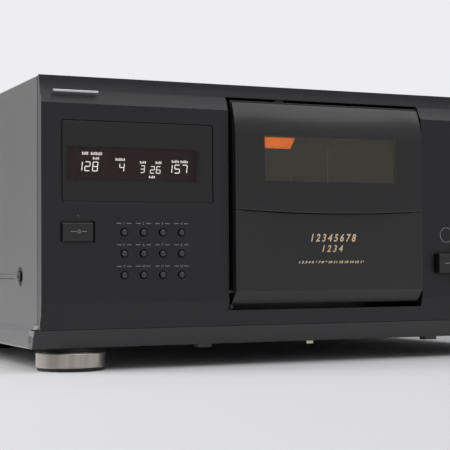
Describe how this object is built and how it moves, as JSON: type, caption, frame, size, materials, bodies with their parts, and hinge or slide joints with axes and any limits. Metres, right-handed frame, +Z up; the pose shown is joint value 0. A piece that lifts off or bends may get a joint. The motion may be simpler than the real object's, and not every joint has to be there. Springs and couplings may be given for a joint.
{
  "type": "carousel disc changer",
  "caption": "Black hi-fi disc changer that stores discs on edge in a round turning table behind a drop-down windowed door, with display, round keys and dial.",
  "frame": {"origin": "under the middle of the whole object, on the surface it stands on", "axes": "+X to the right seen from the front, +Y to the back, +Z up"},
  "size_m": [0.43, 0.4, 0.1954],
  "materials": {
    "front_plastic": "satin black moulded, fine horizontal hairlines",
    "door_plastic": "semi-gloss black moulded",
    "smoked_pane": "smoked acrylic, polished",
    "display_pane": "smoked acrylic, polished",
    "tube_glass": "clear",
    "circuit_board": "solder mask",
    "cover_paint": "fine textured black paint",
    "tray_steel": "plated sheet steel",
    "rear_paint": "satin black paint",
    "black_screw": "blackened",
    "zinc_screw": "zinc plated",
    "foot_metal": "turned, champagne tone",
    "rubber": "matt",
    "rear_foot_plastic": "moulded",
    "key_plastic": "satin black",
    "dial_plastic": "satin black",
    "steel": "ground",
    "bay_plastic": "moulded black",
    "orange_lens": "translucent orange",
    "gear_plastic": "natural acetal",
    "motor_can": "drawn can",
    "table_plastic": "moulded dark grey",
    "tower_steel": "plated sheet steel",
    "sled_alloy": "die cast",
    "transformer_iron": "varnished laminations",
    "jack_metal": "nickel plated"
  },
  "bodies": {
    "root": {"front_panel": "front_plastic", "base_moulding": "front_plastic", "display_window": "display_pane", "display_tube": "tube_glass", "display_board": "circuit_board", "key_board": "circuit_board", "main_board": "circuit_board", "top_cover": "cover_paint", "bottom_chassis": "tray_steel", "rear_panel": "rear_paint", "case_screws": "black_screw", "foot_screws": "zinc_screw", "front_foot_left": "foot_metal", "front_foot_right": "foot_metal", "foot_pads": "rubber", "rear_foot_left": "rear_foot_plastic", "rear_foot_right": "rear_foot_plastic", "hinge_pins": "steel", "bay_frame": "bay_plastic", "slot_pointer": "orange_lens", "door_motor": "motor_can", "table_base": "bay_plastic", "table_motor": "motor_can", "tower_frame": "tower_steel", "spindle_motor": "motor_can", "sled_rails": "steel", "loading_motor": "bay_plastic", "transformer": "transformer_iron", "phono_jacks": "jack_metal", "mini_jacks": "dial_plastic", "mains_bushing": "rear_foot_plastic"},
    "door": {"door_frame": "door_plastic", "door_window": "smoked_pane"},
    "door_gear": {"door_gear": "gear_plastic"},
    "jog_dial": {"jog_dial": "dial_plastic"},
    "table": {"rotary_table": "table_plastic"},
    "table_pinion": {"table_pinion": "gear_plastic"},
    "turntable": {"turntable": "dial_plastic"},
    "sled": {"pickup_sled": "sled_alloy"},
    "sled_gear": {"sled_gear": "gear_plastic"},
    "clamp_arm": {"clamp_arm": "tower_steel"},
    "clamper": {"clamper": "gear_plastic"},
    "loading_lever": {"loading_lever": "gear_plastic"},
    "power_button": {"power_button": "key_plastic"},
    "open_close_button": {"open_close_button": "key_plastic"},
    "play_button": {"play_button": "key_plastic"},
    "pause_button": {"pause_button": "key_plastic"},
    "stop_button": {"stop_button": "key_plastic"},
    "key_11": {"key_11": "key_plastic"},
    "key_12": {"key_12": "key_plastic"},
    "key_13": {"key_13": "key_plastic"},
    "key_14": {"key_14": "key_plastic"},
    "key_21": {"key_21": "key_plastic"},
    "key_22": {"key_22": "key_plastic"},
    "key_23": {"key_23": "key_plastic"},
    "key_24": {"key_24": "key_plastic"},
    "key_31": {"key_31": "key_plastic"},
    "key_32": {"key_32": "key_plastic"},
    "key_33": {"key_33": "key_plastic"},
    "key_34": {"key_34": "key_plastic"}
  },
  "joints": [
    {"name": "door_hinge", "type": "hinge", "parent": "root", "child": "door", "pos_m": [0, -0.185, 0.0511], "axis": [1, 0, 0], "range_deg": [0, 75]},
    {"name": "door_gear_spin", "type": "hinge", "parent": "root", "child": "door_gear", "pos_m": [0, -0.164, 0.0511], "axis": [1, 0, 0], "range_deg": [-190, 5]},
    {"name": "dial_turn", "type": "hinge", "parent": "root", "child": "jog_dial", "pos_m": [0.158, -0.191, 0.1351], "axis": [0, 1, 0], "continuous": true},
    {"name": "table_turn", "type": "hinge", "parent": "root", "child": "table", "pos_m": [0, 0.01, 0.0371], "axis": [0, 0, 1], "continuous": true},
    {"name": "table_pinion_spin", "type": "hinge", "parent": "root", "child": "table_pinion", "pos_m": [0.07534, 0.0535, 0.0311], "axis": [0, 0, 1], "continuous": true},
    {"name": "turntable_spin", "type": "hinge", "parent": "root", "child": "turntable", "pos_m": [0, 0.01, 0.0991], "axis": [0, 1, 0], "continuous": true},
    {"name": "sled_travel", "type": "slide", "parent": "root", "child": "sled", "axis": [0, 0, -1], "range_m": [0, 0.033]},
    {"name": "sled_gear_spin", "type": "hinge", "parent": "root", "child": "sled_gear", "pos_m": [0.025, 0.018, 0.0621], "axis": [0, -1, 0], "range_deg": [0, 320]},
    {"name": "clamp_arm_swing", "type": "hinge", "parent": "root", "child": "clamp_arm", "pos_m": [0, 0.002, 0.1571], "axis": [-1, 0, 0], "range_deg": [0, 10]},
    {"name": "clamper_spin", "type": "hinge", "parent": "clamp_arm", "child": "clamper", "pos_m": [0, 0.003, 0.0991], "axis": [0, 1, 0], "continuous": true},
    {"name": "loading_lever_swing", "type": "hinge", "parent": "root", "child": "loading_lever", "pos_m": [-0.192, 0.01, 0.0631], "axis": [0, 1, 0], "range_deg": [0, 45]},
    {"name": "power_button_press", "type": "slide", "parent": "root", "child": "power_button", "axis": [0, 1, 0], "range_m": [0, 0.0025], "stiffness_N_per_m": 200},
    {"name": "open_close_button_press", "type": "slide", "parent": "root", "child": "open_close_button", "axis": [0, 1, 0], "range_m": [0, 0.0008], "stiffness_N_per_m": 300},
    {"name": "play_button_press", "type": "slide", "parent": "root", "child": "play_button", "axis": [0, 1, 0], "range_m": [0, 0.0008], "stiffness_N_per_m": 300},
    {"name": "pause_button_press", "type": "slide", "parent": "root", "child": "pause_button", "axis": [0, 1, 0], "range_m": [0, 0.0008], "stiffness_N_per_m": 300},
    {"name": "stop_button_press", "type": "slide", "parent": "root", "child": "stop_button", "axis": [0, 1, 0], "range_m": [0, 0.0008], "stiffness_N_per_m": 300},
    {"name": "key_11_press", "type": "slide", "parent": "root", "child": "key_11", "axis": [0, 1, 0], "range_m": [0, 0.0008], "stiffness_N_per_m": 300},
    {"name": "key_12_press", "type": "slide", "parent": "root", "child": "key_12", "axis": [0, 1, 0], "range_m": [0, 0.0008], "stiffness_N_per_m": 300},
    {"name": "key_13_press", "type": "slide", "parent": "root", "child": "key_13", "axis": [0, 1, 0], "range_m": [0, 0.0008], "stiffness_N_per_m": 300},
    {"name": "key_14_press", "type": "slide", "parent": "root", "child": "key_14", "axis": [0, 1, 0], "range_m": [0, 0.0008], "stiffness_N_per_m": 300},
    {"name": "key_21_press", "type": "slide", "parent": "root", "child": "key_21", "axis": [0, 1, 0], "range_m": [0, 0.0008], "stiffness_N_per_m": 300},
    {"name": "key_22_press", "type": "slide", "parent": "root", "child": "key_22", "axis": [0, 1, 0], "range_m": [0, 0.0008], "stiffness_N_per_m": 300},
    {"name": "key_23_press", "type": "slide", "parent": "root", "child": "key_23", "axis": [0, 1, 0], "range_m": [0, 0.0008], "stiffness_N_per_m": 300},
    {"name": "key_24_press", "type": "slide", "parent": "root", "child": "key_24", "axis": [0, 1, 0], "range_m": [0, 0.0008], "stiffness_N_per_m": 300},
    {"name": "key_31_press", "type": "slide", "parent": "root", "child": "key_31", "axis": [0, 1, 0], "range_m": [0, 0.0008], "stiffness_N_per_m": 300},
    {"name": "key_32_press", "type": "slide", "parent": "root", "child": "key_32", "axis": [0, 1, 0], "range_m": [0, 0.0008], "stiffness_N_per_m": 300},
    {"name": "key_33_press", "type": "slide", "parent": "root", "child": "key_33", "axis": [0, 1, 0], "range_m": [0, 0.0008], "stiffness_N_per_m": 300},
    {"name": "key_34_press", "type": "slide", "parent": "root", "child": "key_34", "axis": [0, 1, 0], "range_m": [0, 0.0008], "stiffness_N_per_m": 300}
  ],
  "couplings": [
    {"joint": "door_gear_spin", "follows": "door_hinge", "ratio": -2.5},
    {"joint": "table_pinion_spin", "follows": "table_turn", "ratio": -6.25},
    {"joint": "sled_gear_spin", "follows": "sled_travel", "rad_per_m": 166.67}
  ]
}
